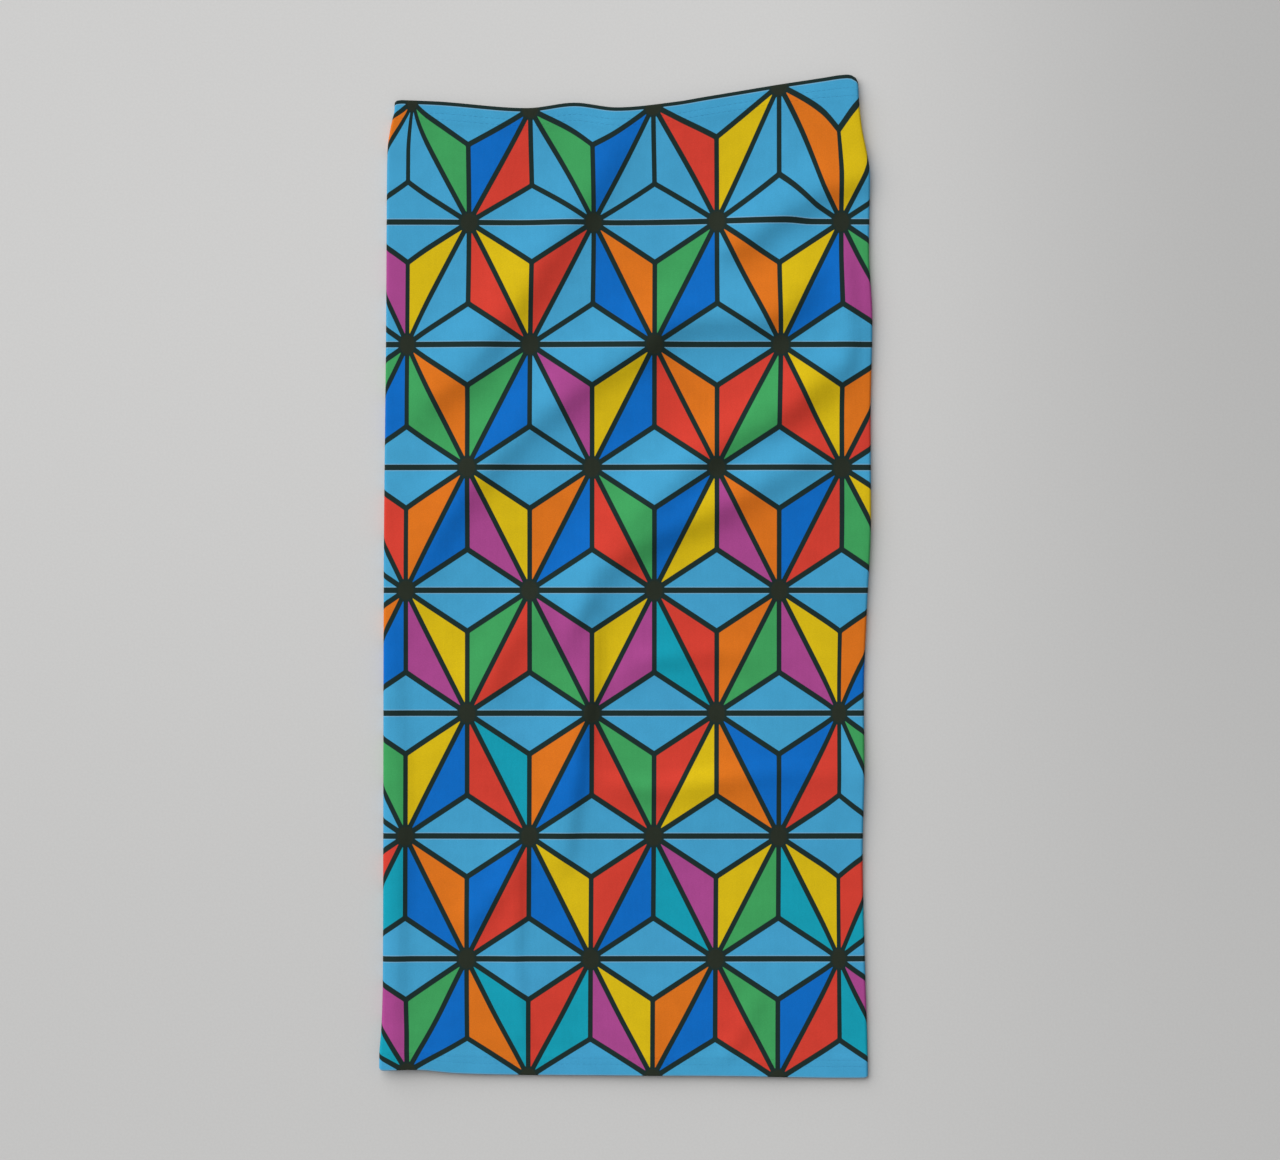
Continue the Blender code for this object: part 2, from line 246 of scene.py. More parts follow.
def fold_height(x, y, fold):
    """A rounded crest that dies away at both ends."""
    points, heights, soft, steep = fold
    crest = spread(points, CREST_STEPS)
    nearest = np.full(x.shape, np.inf)
    share = np.zeros(x.shape)
    to_left = np.zeros(x.shape)
    for i in range(len(crest) - 1):
        start, way = crest[i], crest[i + 1] - crest[i]
        dx, dy = x - start[0], y - start[1]
        along = np.clip((dx * way[0] + dy * way[1]) / (way @ way), 0, 1)
        off_x, off_y = dx - along * way[0], dy - along * way[1]
        distance = np.hypot(off_x, off_y)
        closer = distance < nearest
        nearest = np.where(closer, distance, nearest)
        share = np.where(closer, (i + along) / (len(crest) - 1), share)
        to_left = np.where(closer, way[0] * off_y - way[1] * off_x, to_left)
    width = np.where(to_left > 0, soft, steep) * MM
    grow = smooth(share / CREST_TAPER + CREST_START)
    taper = grow * smooth((1 - share) / CREST_TAPER + CREST_START)
    height = np.interp(share, (0, 0.5, 1), heights) * MM
    return height * taper * np.exp(-((nearest / width) ** 2))


def undulation(x, y):
    """The slight unevenness of cloth that lies loose."""
    total = 0
    for across, along, phase in WAVES:
        total = total + np.sin(across * x + along * y + phase)
    return WAVE_HEIGHT * total


def front_height(x, y, v):
    """What the front layer adds to the height of the side folds."""
    from_fold = np.minimum(v, LENGTH - v)
    height = PUFF * smooth((EDGE_U - np.abs(x)) / PUFF_SLOPE)
    for fold in FOLDS:
        height = height + fold_height(x, y, fold)
    inside = smooth((HALF_WIDTH - np.abs(x)) / WAVE_MARGIN)
    height = height + undulation(x, y) * inside
    hem_step = 1 - smooth((from_fold - HEM_STEP_FROM) / HEM_STEP_WIDTH)
    return height + hem_step * HEM_STEP


def stitch_grooves(v):
    """How deep the hem's needle lines pull the cloth in."""
    from_fold = np.minimum(v, LENGTH - v)
    depth = 0
    for line in HEM_NEEDLE_AT:
        depth = depth + GROOVE_DEPTH * np.exp(-(((from_fold - line) / GROOVE_WIDTH) ** 2))
    return depth


def back_lift(x, v):
    """How far the threads under the back layer hold it off the table."""
    from_fold = np.minimum(v, LENGTH - v)
    hem = 1 - smooth((from_fold - HEM_LIFT_REACH) / HEM_LIFT_SLOPE)
    seam = 1 - smooth((np.abs(x) - SEAM_LIFT_REACH) / SEAM_LIFT_SLOPE)
    return np.maximum(hem * HEM_LIFT, seam * SEAM_LIFT)


def slide(u, v):
    """How far the print is pulled sideways."""
    total = 0
    for middle_u, middle_v, reach, amount in SLIDES:
        away = np.hypot(u - middle_u * MM, v - middle_v * MM) / (reach * MM)
        total = total + amount * MM * np.exp(-(away**2))
    return total


def corner_lift(x, v):
    """How far one corner curls up."""
    away = np.hypot(x + HALF_WIDTH, LENGTH - v)
    return CORNER_LIFT * (1 - smooth(away / CORNER_LIFT_REACH))


def thickness(x, y):
    """How high the side folds hold the front layer."""
    left, right = through(LEFT_THICKNESS, y), through(RIGHT_THICKNESS, y)
    return left + (right - left) * smooth((x / HALF_WIDTH + 1) / 2)


def corner_drop(x, end):
    """How far the rounding of the corners pulls an end of the sheet in."""
    total = 0
    for side, sign in (("left", -1), ("right", 1)):
        drop, width = CORNER_DROPS[side, end]
        inside = np.clip((sign * x - HALF_WIDTH) / (width * MM) + 1, 0, 1)
        total = total + drop * MM * (1 - np.sqrt(1 - inside**2))
    return total


def cloth(u, v, n):
    """The place of a point of the cloth, for any arrays u, v and n."""
    u, v, n = np.broadcast_arrays(u, v, n)
    u = u + slide(u, v)
    side = np.where(u < 0, -1.0, 1.0)
    reach = np.abs(u)
    turn = np.clip((reach - EDGE_U) / SIDE_ARC, 0, 1) * math.pi
    on_back = np.clip(reach - BACK_U, 0, None)
    front = (1 + np.cos(turn)) / 2
    x = side * (np.minimum(reach, EDGE_U) + SIDE_RADIUS * np.sin(turn) - on_back)
    y = TOP_Y - v
    rise = TOP_SIDE - through(TOP_EDGE, x) - TOP_Y
    drop = BOTTOM_SIDE + through(BOTTOM_EDGE, x) - (TOP_Y - LENGTH)
    steep = smooth((x - STEEP_TOP_X) / STEEP_TOP_BLEND)
    top_reach = TOP_REACH + (STEEP_TOP_REACH - TOP_REACH) * steep
    y = y + rise * (1 - smooth(v / top_reach)) + drop * (1 - smooth((LENGTH - v) / BOTTOM_REACH))
    y = y - corner_drop(x, "top") * (1 - smooth(v / CORNER_REACH))
    y = y + corner_drop(x, "bottom") * (1 - smooth((LENGTH - v) / CORNER_REACH))
    edge = np.where(
        x > 0, RIGHT_SIDE - through(RIGHT_EDGE, y), LEFT_SIDE + through(LEFT_EDGE, y)
    )
    near_side = smooth((np.abs(x) - HALF_WIDTH + SIDE_REACH) / SIDE_REACH)
    x = x + near_side * (edge - side * HALF_WIDTH)
    z = front * (thickness(x, y) + front_height(x, y, v)) + (1 - front) * back_lift(x, v)
    z = z + corner_lift(x, v)
    depth = n + stitch_grooves(v)
    return np.stack([x - side * np.sin(turn) * depth, y, z - np.cos(turn) * depth], axis=-1)


def even_steps(low, high, step):
    return np.linspace(low, high, max(2, round((high - low) / step) + 1))


def around_steps():
    """Where the sheet has a column of points, from one edge of the seam to the other."""
    side = np.linspace(EDGE_U, BACK_U, SIDE_COLUMNS)
    back = even_steps(BACK_U, SEAM_U - SEAM_ZONE, BACK_STEP)[1:]
    seam = even_steps(SEAM_U - SEAM_ZONE, SEAM_U - SEAM_SPLIT / 2, SEAM_STEP)[1:]
    outer = np.concatenate([side, back, seam])
    front = even_steps(-EDGE_U, EDGE_U, FRONT_STEP)[1:-1]
    return np.concatenate([-outer[::-1], front, outer])


def strip_rows():
    """The sheet cut lengthwise, from one raw edge to the other: for each row the v and n of
    its printed face, those of its reverse, and how far down the print it is."""
    outer = CLOTH + PLY_GAP / 2
    inner = PLY_GAP / 2
    middle = outer - CLOTH / 2
    top = []
    for v in even_steps(HEM_DEPTH, outer, INNER_PLY_STEP)[:-1]:
        print_v = outer - middle * math.pi - (v - outer)
        top.append((v, 2 * outer, v, 2 * outer - CLOTH, print_v))
    for turn in np.linspace(math.pi, 0, FOLD_ROWS):
        out, up = math.sin(turn), math.cos(turn)
        row = (outer - outer * out, outer - outer * up, outer - inner * out, outer - inner * up)
        top.append((*row, outer - middle * turn))
    top += [(v, 0, v, CLOTH, v) for v in np.array(HEM_ROWS) * MM]
    bottom = [(LENGTH - a, b, LENGTH - c, d, LENGTH - e) for a, b, c, d, e in reversed(top)]
    plain = even_steps(top[-1][0], bottom[0][0], PLAIN_STEP)[1:-1]
    return np.array(top + [(v, 0, v, CLOTH, v) for v in plain] + bottom)


def add_mesh(name, points, faces, materials, slots=None):
    mesh = bpy.data.meshes.new(name)
    mesh.from_pydata(np.asarray(points, float).reshape(-1, 3).tolist(), [], faces)
    for each in materials:
        mesh.materials.append(each)
    if slots is not None:
        mesh.polygons.foreach_set("material_index", slots)
    mesh.shade_smooth()
    obj = bpy.data.objects.new(name, mesh)
    bpy.context.scene.collection.objects.link(obj)
    return obj


def add_coordinates(obj, name, values):
    """Stores a vector for each point, which the materials read."""
    attribute = obj.data.attributes.new(name, "FLOAT_VECTOR", "POINT")
    attribute.data.foreach_set("vector", np.asarray(values, np.float32).ravel())


def build_panel(materials):
    """The knit sheet as one closed body: printed face, reverse face and four cut edges."""
    us = around_steps()
    rows = strip_rows()
    printed = cloth(us[:, None], rows[None, :, 0], rows[None, :, 1])
    reverse = cloth(us[:, None], rows[None, :, 2], rows[None, :, 3])
    points = np.concatenate([printed.reshape(-1, 3), reverse.reshape(-1, 3)])
    columns, count = len(us), len(rows)
    below = columns * count
    faces, slots = [], []
    for i in range(columns - 1):
        for j in range(count - 1):
            a = i * count + j
            quad = (a, a + 1, a + count + 1, a + count)
            faces += [quad, tuple(below + k for k in reversed(quad))]
            slots += [0, 1]
        for j, turned in ((0, False), (count - 1, True)):
            a = i * count + j
            quad = (a, a + count, below + a + count, below + a)
            faces.append(quad[::-1] if turned else quad)
            slots.append(2)
    for i, turned in ((0, True), (columns - 1, False)):
        for j in range(count - 1):
            a = i * count + j
            quad = (a, a + 1, below + a + 1, below + a)
            faces.append(quad if turned else quad[::-1])
            slots.append(2)
    panel = add_mesh("gaiter_knit_panel", points, faces, materials, slots)
    one_side = np.stack(
        [np.repeat(us, count), np.tile(rows[:, 4], columns), np.zeros(columns * count)], axis=-1
    )
    other_side = one_side + (0, 0, 1)
    add_coordinates(panel, "cloth", np.concatenate([one_side, other_side]))
    return panel


# ------------------------------------------------------------------ sewing threads
THREAD_SIDES = 6
STITCH = 2.8 * MM
SEAM_STITCH = 2.5 * MM
NEEDLE_YARN = 0.1 * MM  # radius
LOOPER_YARN = 0.12 * MM
NEEDLE_ABOVE = 0.02 * MM  # how far a needle stitch's middle stands off the cloth's face
NEEDLE_SINKS = CLOTH * 0.7  # how far it sinks from there where it passes through
ROW_START, ROW_STOP = 1 * MM, 0.5 * MM  # how near the seam a hem's rows come at either end
SEAM_ROW_END = 1.5 * MM  # how near the folds the seam's rows come
LOOPER_OVERLAP = 0.3 * MM  # how far a looper swings past what it holds
SEAM_NEEDLES = 4
SEAM_NEEDLE_PITCH = 1.8 * MM


def tube(name, path, radius, material, on_cloth=None):
    """A round thread along a path, closed at its ends, that carries its own coordinates:
    the way along it and the way round it. on_cloth is the u and v of each of its points."""
    sides = THREAD_SIDES
    along = np.gradient(path, axis=0)
    along /= np.linalg.norm(along, axis=1)[:, None]
    across = np.zeros_like(path)
    start = np.cross(along[0], (0.0, 0.0, 1.0))
    across[0] = start / np.linalg.norm(start)
    for i in range(1, len(path)):
        kept = across[i - 1] - along[i] * (across[i - 1] @ along[i])
        across[i] = kept / np.linalg.norm(kept)
    upwards = np.cross(along, across)
    angles = np.arange(sides) * 2 * math.pi / sides
    rings = (
        path[:, None]
        + radius * np.cos(angles)[None, :, None] * across[:, None]
        + radius * np.sin(angles)[None, :, None] * upwards[:, None]
    )
    faces = []
    for i in range(len(path) - 1):
        for j in range(sides):
            k = (j + 1) % sides
            faces.append((i * sides + j, i * sides + k, (i + 1) * sides + k, (i + 1) * sides + j))
    last = (len(path) - 1) * sides
    faces.append(tuple(range(sides - 1, -1, -1)))
    faces.append(tuple(range(last, last + sides)))
    thread = add_mesh(name, rings, faces, [material])
    steps = np.linalg.norm(np.diff(path, axis=0), axis=1)
    distance = np.concatenate([[0], np.cumsum(steps)])
    lengths = np.repeat(distance, sides)
    turns = np.tile(np.arange(sides) / sides, len(path))
    add_coordinates(thread, "yarn", np.stack([lengths, turns, turns * 0], axis=-1))
    if on_cloth is not None:
        u, v = (np.repeat(each, sides) for each in on_cloth)
        add_coordinates(thread, "cloth", np.stack([u, v, v * 0], axis=-1))
    return thread


def seam_u(x):
    """The way round to a place beside the back seam."""
    return np.where(x < 0, -1.0, 1.0) * (SEAM_U - np.abs(x))


def stitch_path(start, end, pitch):
    """Steps along a row of stitches, and how deep the thread is in the cloth at each: 1 where
    it goes through, 0 where it lies on the face."""
    parts = np.array((0, 0.1, 0.25, 0.5, 0.75, 0.9))
    sunk = np.array((1, 0.45, 0, 0, 0, 0.45))
    count = int((end - start) / pitch)
    steps = start + (np.arange(count)[:, None] + parts[None, :]).ravel() * pitch
    return steps, np.tile(sunk, count)


def hem_v(distance, at_bottom):
    """The way down to a place so far from one of the folds."""
    return LENGTH - distance if at_bottom else distance


def hem_needle_thread(name, distance, at_bottom, material):
    """One of the two rows of straight stitches on the hem's outer face."""
    u, sunk = stitch_path(-SEAM_U + ROW_START, SEAM_U - ROW_STOP, STITCH)
    n = -NEEDLE_ABOVE + sunk * NEEDLE_SINKS
    v = np.full_like(u, hem_v(distance, at_bottom))
    return tube(name, cloth(u, v, n), NEEDLE_YARN, material, on_cloth=(u, v))


def hem_looper_thread(name, at_bottom, material):
    """The net inside the hem, which runs between the needle lines and holds the raw edge."""
    near, far = HEM_NEEDLE_AT[0] - LOOPER_OVERLAP, HEM_DEPTH + LOOPER_OVERLAP
    inside = 2 * CLOTH + PLY_GAP + LOOPER_YARN
    sides = np.array((0, 0.12, 0.5, 0.88, 1, 0.88, 0.5, 0.12))
    parts = np.array((0, 0.06, 0.22, 0.40, 0.5, 0.56, 0.72, 0.90))
    count = int((2 * SEAM_U - 2 * ROW_START) / STITCH)
    u = -SEAM_U + ROW_START + (np.arange(count)[:, None] + parts[None, :]).ravel() * STITCH
    v = hem_v(near + np.tile(sides, count) * (far - near), at_bottom)
    return tube(name, cloth(u, v, np.full_like(u, inside)), LOOPER_YARN, material)


def seam_needle_thread(index, material):
    """One of the flatlock's straight rows, which runs into both hems."""
    x = (index - (SEAM_NEEDLES - 1) / 2) * SEAM_NEEDLE_PITCH
    v, sunk = stitch_path(SEAM_ROW_END, LENGTH - SEAM_ROW_END, SEAM_STITCH)
    n = -NEEDLE_ABOVE + sunk * NEEDLE_SINKS
    path = cloth(np.full_like(v, seam_u(x)), v, n)
    return tube(f"gaiter_back_seam_needle_thread_{index + 1}", path, NEEDLE_YARN, material)


def seam_crossing_thread(name, n, first_v, phase, material):
    """A thread that swings from side to side over the butted edges."""
    half = (SEAM_NEEDLES - 1) / 2 * SEAM_NEEDLE_PITCH + LOOPER_OVERLAP
    count = int((LENGTH - 2 * first_v) / SEAM_STITCH)
    parts = np.array((0, 0.08, 0.2, 0.32, 0.44, 0.5, 0.58, 0.7, 0.82, 0.94))
    swing = np.array((1, 0.9, 0.35, -0.35, -0.9, -1, -0.9, -0.35, 0.35, 0.9))
    v = first_v + (np.arange(count)[:, None] + parts[None, :] + phase).ravel() * SEAM_STITCH
    x = np.tile(swing, count) * half
    return tube(name, cloth(seam_u(x), v, np.full_like(v, n)), LOOPER_YARN, material)


LABEL_NEAR = 3.4 * MM  # how near the seam the ribbon begins
LABEL_LENGTH = 25 * MM
LABEL_FROM, LABEL_TO = 24 * MM, 42 * MM  # its two edges, down from the top fold
LABEL_STEP = 1.25 * MM  # how finely it is divided along, and then across
LABEL_CROSS_STEP = 1.5 * MM
RIBBON = 0.16 * MM
LABEL_CURL = 1.6 * MM
LABEL_CLEAR = 0.1 * MM  # how far its lower ply's middle stands off the cloth
LABEL_PLY_GAP = 0.36 * MM  # between the middles of its plies
LABEL_FOLD = 0.35 * MM  # how far its fold bulges past its length


def build_label(material):
    """A blank ribbon folded in half, with both ends in the seam and its fold curling up."""
    steps = even_steps(0, LABEL_LENGTH, LABEL_STEP)
    lift = LABEL_CURL * (steps / LABEL_LENGTH) ** 2
    low = CLOTH + LABEL_CLEAR
    profile = [(s, low + a) for s, a in zip(steps, lift)]
    profile += [(LABEL_LENGTH + LABEL_FOLD, low + LABEL_CURL + LABEL_PLY_GAP / 2)]
    profile += [(s, low + a + LABEL_PLY_GAP) for s, a in zip(steps[::-1], lift[::-1])]
    profile = np.array(profile)
    tangent = np.gradient(profile, axis=0)
    tangent /= np.linalg.norm(tangent, axis=1)[:, None]
    normal = np.stack([-tangent[:, 1], tangent[:, 0]], axis=-1) * RIBBON / 2
    loop = np.concatenate([profile + normal, (profile - normal)[::-1]])
    vs = even_steps(LABEL_FROM, LABEL_TO, LABEL_CROSS_STEP)
    u = SEAM_U - LABEL_NEAR - loop[:, 0]
    points = cloth(u[None, :], vs[:, None], loop[None, :, 1])
    count = len(loop)
    faces = []
    for i in range(len(vs) - 1):
        for j in range(count):
            k = (j + 1) % count
            faces.append((i * count + j, i * count + k, (i + 1) * count + k, (i + 1) * count + j))
    half = count // 2
    for start, turned in ((0, True), ((len(vs) - 1) * count, False)):
        for j in range(half - 1):
            quad = (start + j, start + j + 1, start + count - 2 - j, start + count - 1 - j)
            faces.append(quad[::-1] if turned else quad)
    label = add_mesh("gaiter_care_label", points, faces, [material])
    v_grid = np.repeat(vs, count)
    s_grid = np.tile(np.concatenate([np.arange(half), np.arange(half)[::-1]]), len(vs))
    ribbon = np.stack([s_grid * LABEL_STEP, v_grid, v_grid * 0], axis=-1)
    add_coordinates(label, "ribbon", ribbon)
    return label


# ------------------------------------------------------------------ materials
WHITE_YARN = (0.70, 0.71, 0.71)
CUT_YARN = (0.62, 0.68, 0.72)
THREAD_BLUE = (60, 140, 180)
LABEL_WHITE = (0.78, 0.78, 0.76)
TABLE_TINT = (1.0, 0.995, 0.985)
REVERSE_SHOWS = 0.16  # how much of the print shows through on the reverse
WALE, COURSE = 0.6 * MM, 0.44 * MM  # the width of a knitted stitch, and its height
STITCH_LEAN = 1.3  # how steeply the two legs of a stitch lean, in courses
STITCH_DEPTH = 0.28  # the share of the relief that the stitches make, beside their ribs
TWIST = 0.7 * MM  # the length of one turn of a thread's plies
WEAVE = 0.35 * MM  # between the ribbon's ridges, and how far they slant
WEAVE_SLANT = 0.6


def linear(colour):
    """A colour given in 0-255 steps as linear light."""
    parts = [c / 255 for c in colour]
    return tuple(c / 12.92 if c <= 0.04045 else ((c + 0.055) / 1.055) ** 2.4 for c in parts)


class Graph:
    """Writes shader arithmetic as calls that return sockets."""

    def __init__(self, tree):
        self.tree = tree

    def node(self, kind, **settings):
        made = self.tree.nodes.new(kind)
        for key, value in settings.items():
            setattr(made, key, value)
        return made

    def plug(self, socket, value):
        if isinstance(value, bpy.types.NodeSocket):
            self.tree.links.new(value, socket)
        else:
            socket.default_value = value

    def math(self, operation, *values):
        made = self.node("ShaderNodeMath", operation=operation)
        for socket, value in zip(made.inputs, values):
            self.plug(socket, value)
        return made.outputs[0]

    def mix(self, share, first, second):
        made = self.node("ShaderNodeMix", data_type="RGBA")
        for socket, value in zip((made.inputs[0], made.inputs[6], made.inputs[7]),
                                 (share, first, second)):
            self.plug(socket, value)
        return made.outputs[2]

    def noise(self, vector, scale, detail=2.0):
        made = self.node("ShaderNodeTexNoise")
        self.plug(made.inputs["Vector"], vector)
        made.inputs["Scale"].default_value = scale
        made.inputs["Detail"].default_value = detail
        return made.outputs["Fac"]

    def between(self, value, low, high, to_low=0.0, to_high=1.0, kind="SMOOTHSTEP"):
        made = self.node("ShaderNodeMapRange", interpolation_type=kind)
        for socket, each in zip(made.inputs, (value, low, high, to_low, to_high)):
            self.plug(socket, each)
        return made.outputs[0]

    def ramp(self, share, colours):
        """Equal steps of colour with hard edges."""
        made = self.node("ShaderNodeValToRGB")
        self.plug(made.inputs[0], share)
        made.color_ramp.interpolation = "CONSTANT"
        stops = made.color_ramp.elements
        stops.remove(stops[1])
        for i, colour in enumerate(colours):
            stop = stops[0] if i == 0 else stops.new(i / len(colours))
            stop.position = i / len(colours)
            stop.color = (*colour, 1.0)
        return made.outputs[0]


def facet_colour(graph, band, cell, below):
    """The ink of a facet: one ramp for the upper facets of each band and one for the lower."""
    colour = None
    rows = [row.split() for row in FACETS]
    share = graph.math("DIVIDE", graph.math("ADD", cell, 0.5 - FIRST_CELL), len(rows[0]))
    chosen = graph.math("ADD", graph.math("MULTIPLY", band, 2.0), below)
    for i, row in enumerate(rows):
        for j in (0, 1):
            inks = graph.ramp(share, [linear(INK[pair[j]]) for pair in row])
            if colour is None:
                colour = inks
            else:
                this_one = graph.math("COMPARE", chosen, float(2 * i + j), 0.25)
                colour = graph.mix(this_one, colour, inks)
    return colour


def print_group():
    """The hemp-leaf lattice: rows of stars joined by lines, with each triangle of the lattice
    split in three from its middle."""
    tree = bpy.data.node_groups.new("hemp_leaf_print", "ShaderNodeTree")
    tree.interface.new_socket("Ink", in_out="OUTPUT", socket_type="NodeSocketColor")
    graph = Graph(tree)
    place = graph.node("ShaderNodeAttribute", attribute_name="cloth").outputs["Vector"]
    split = graph.node("ShaderNodeSeparateXYZ")
    graph.plug(split.inputs[0], place)
    half, row = STAR_PITCH / 2, ROW_PITCH / PRINT_STRETCH
    across = graph.math("DIVIDE", graph.math("SUBTRACT", split.outputs[0], STAR_U), half)
    down = graph.math("DIVIDE", graph.math("SUBTRACT", split.outputs[1], FIRST_ROW_V), ROW_PITCH)
    cell = graph.math("FLOOR", across)
    band = graph.math("FLOOR", down)
    # s runs from the cell's upper star to its lower one, and t down the band.
    odd = graph.math("FLOORED_MODULO", graph.math("ADD", cell, band), 2.0)
    s = graph.math("ABSOLUTE", graph.math("SUBTRACT", graph.math("FRACT", across), odd))
    t = graph.math("FRACT", down)
    # Below the slanted line the cell is the upper half turned round.
    below = graph.math("GREATER_THAN", t, s)
    s = graph.math("ABSOLUTE", graph.math("SUBTRACT", s, below))
    t = graph.math("ABSOLUTE", graph.math("SUBTRACT", t, below))
    # Distances are taken before the stretch, which makes the lines across the tube thicker.
    x = graph.math("MULTIPLY", s, half)
    y = graph.math("MULTIPLY", t, row)

    def to_line(rise):
        """How far a point is from the line that joins the star to (half, rise)."""
        length = math.hypot(half, rise)
        gap = graph.math("SUBTRACT", graph.math("MULTIPLY", x, rise / length),
                         graph.math("MULTIPLY", y, half / length))
        return graph.math("ABSOLUTE", gap)

    def to_star(star_x, star_y):
        """The same from a star, measured so that its spot is drawn out to HUB_RADIUS."""
        square_x = graph.math("POWER", graph.math("SUBTRACT", x, star_x), 2.0)
        square_y = graph.math("POWER", graph.math("SUBTRACT", y, star_y), 2.0)
        reach = graph.math("SQRT", graph.math("ADD", square_x, square_y))
        return graph.math("SUBTRACT", reach, HUB_RADIUS - LINE_WIDTH / 2)

    # No line runs down above the triangle's middle, so a metre is added to its distance there.
    above_middle = graph.math("LESS_THAN", t, 1 / 3)
    to_vertical = graph.math("ADD", graph.math("SUBTRACT", half, x), above_middle)
    to_hub = graph.math("MINIMUM", to_star(0.0, 0.0), to_star(half, row))
    distance = y
    for other in (to_line(row), to_line(row / 3), to_vertical, to_hub):
        distance = graph.math("SMOOTH_MIN", distance, other, LINE_MELT)
    inner_edge, outer_edge = LINE_WIDTH / 2 - LINE_SOFTNESS, LINE_WIDTH / 2 + LINE_SOFTNESS
    line = graph.between(distance, inner_edge, outer_edge, 1.0, 0.0)
    ring = graph.math("FLOORED_MODULO", band, float(len(FACETS)))
    facet = facet_colour(graph, ring, cell, below)
    touches_row = graph.math("LESS_THAN", t, graph.math("DIVIDE", s, 3.0))
    ground = graph.mix(touches_row, facet, (*linear(INK["S"]), 1.0))
    fringe = graph.between(y, outer_edge, LINE_WIDTH / 2 + FRINGE_WIDTH, FRINGE_SHARE, 0.0)
    ground = graph.mix(fringe, ground, (*linear(BARE_YARN), 1.0))
    hub = graph.between(to_hub, 0.0, LINE_WIDTH / 2, 1.0, 0.0)
    dark = graph.mix(hub, (*linear(LINE_INK), 1.0), (*linear(HUB_INK), 1.0))
    ink = graph.mix(line, ground, dark)
    out = graph.node("NodeGroupOutput")
    graph.plug(out.inputs["Ink"], ink)
    return tree


def knit_height(graph, place):
    """Rows of V-shaped stitches: wales along the tube and courses round it."""
    split = graph.node("ShaderNodeSeparateXYZ")
    graph.plug(split.inputs[0], place)
    across = graph.math("FRACT", graph.math("DIVIDE", split.outputs[0], WALE))
    from_middle = graph.math("ABSOLUTE", graph.math("SUBTRACT", across, 0.5))
    along = graph.math("DIVIDE", split.outputs[1], COURSE)
    leaning = graph.math("SUBTRACT", along, graph.math("MULTIPLY", from_middle, STITCH_LEAN))
    loops = graph.math("COSINE", graph.math("MULTIPLY", leaning, 2 * math.pi))
    ribs = graph.math("COSINE", graph.math("MULTIPLY", from_middle, math.pi))
    lifted = graph.math("ADD", graph.math("MULTIPLY", loops, STITCH_DEPTH), 1 - STITCH_DEPTH)
    return graph.math("MULTIPLY", ribs, lifted)


def new_material(name, roughness, sheen=0.0):
    material = bpy.data.materials.new(name)
    material.use_nodes = True
    graph = Graph(material.node_tree)
    shader = material.node_tree.nodes["Principled BSDF"]
    shader.inputs["Roughness"].default_value = roughness
    shader.inputs["Sheen Weight"].default_value = sheen
    shader.inputs["Sheen Roughness"].default_value = 0.4
    shader.inputs["Specular IOR Level"].default_value = 0.06
    return material, graph, shader


def add_bump(graph, shader, height, distance, strength, below=None):
    """Relief on a shader, laid over the relief below it where there is one."""
    bump = graph.node("ShaderNodeBump")
    bump.inputs["Strength"].default_value = strength
    bump.inputs["Distance"].default_value = distance
    graph.plug(bump.inputs["Height"], height)
    if below is not None:
        graph.plug(bump.inputs["Normal"], below)
    graph.plug(shader.inputs["Normal"], bump.outputs[0])
    return bump.outputs[0]


def scaled(graph, colour, factor):
    """A colour made lighter or darker by a factor that varies."""
    made = graph.node("ShaderNodeVectorMath", operation="SCALE")
    graph.plug(made.inputs[0], colour)
    graph.plug(made.inputs["Scale"], factor)
    return made.outputs[0]


def knit_material(name, lattice, shows):
    """Stretch knit. shows is how much of the print reaches this face: 1 on the printed face,
    little on the reverse, where the white yarn lies on top."""
    material, graph, shader = new_material(name, 0.82, sheen=0.04)
    place = graph.node("ShaderNodeAttribute", attribute_name="cloth").outputs["Vector"]
    group = graph.node("ShaderNodeGroup", node_tree=lattice)
    colour = group.outputs["Ink"]
    if shows < 1:
        colour = graph.mix(shows, (*WHITE_YARN, 1.0), colour)
    height = knit_height(graph, place)
    blotches = graph.between(graph.noise(place, 90.0, 3.0), 0.3, 0.7, 0.97, 1.03)
    fibres = graph.between(graph.noise(place, 1500.0, 2.0), 0.25, 0.75, 0.95, 1.05)
    # Painted shade: the knit's colour is darker in the hollows of its stitch relief.
    painted_groove_shade = graph.between(height, 0.0, 0.6, 0.95, 1.01)
    tone = graph.math("MULTIPLY", graph.math("MULTIPLY", blotches, fibres), painted_groove_shade)
    graph.plug(shader.inputs["Base Color"], scaled(graph, colour, tone))
    roughness = graph.between(graph.noise(place, 400.0), 0.3, 0.7, 0.76, 0.9)
    graph.plug(shader.inputs["Roughness"], roughness)
    uneven = add_bump(graph, shader, graph.noise(place, 160.0, 3.0), 0.25 * MM, 0.25)
    add_bump(graph, shader, height, 0.12 * MM, 0.5, below=uneven)
    return material


def thread_material(name, lattice=None):
    """Plied polyester thread, in the blue of the print's ground or printed over with it."""
    material, graph, shader = new_material(name, 0.55, sheen=0.1)
    if lattice is None:
        dye = linear(THREAD_BLUE)
    else:
        dye = graph.node("ShaderNodeGroup", node_tree=lattice).outputs["Ink"]
    split = graph.node("ShaderNodeSeparateXYZ")
    yarn = graph.node("ShaderNodeAttribute", attribute_name="yarn").outputs["Vector"]
    graph.plug(split.inputs[0], yarn)
    along = graph.math("DIVIDE", split.outputs[0], TWIST)
    twist = graph.math("ADD", along, graph.math("MULTIPLY", split.outputs[1], 2.0))
    strands = graph.math("SINE", graph.math("MULTIPLY", twist, 2 * math.pi))
    # Painted shade and highlight: the thread is darker between its plies and lighter on them,
    # following its relief.
    tone = graph.between(strands, -1.0, 1.0, 0.88, 1.06)
    graph.plug(shader.inputs["Base Color"], scaled(graph, dye, tone))
    add_bump(graph, shader, strands, 0.03 * MM, 0.5)
    return material


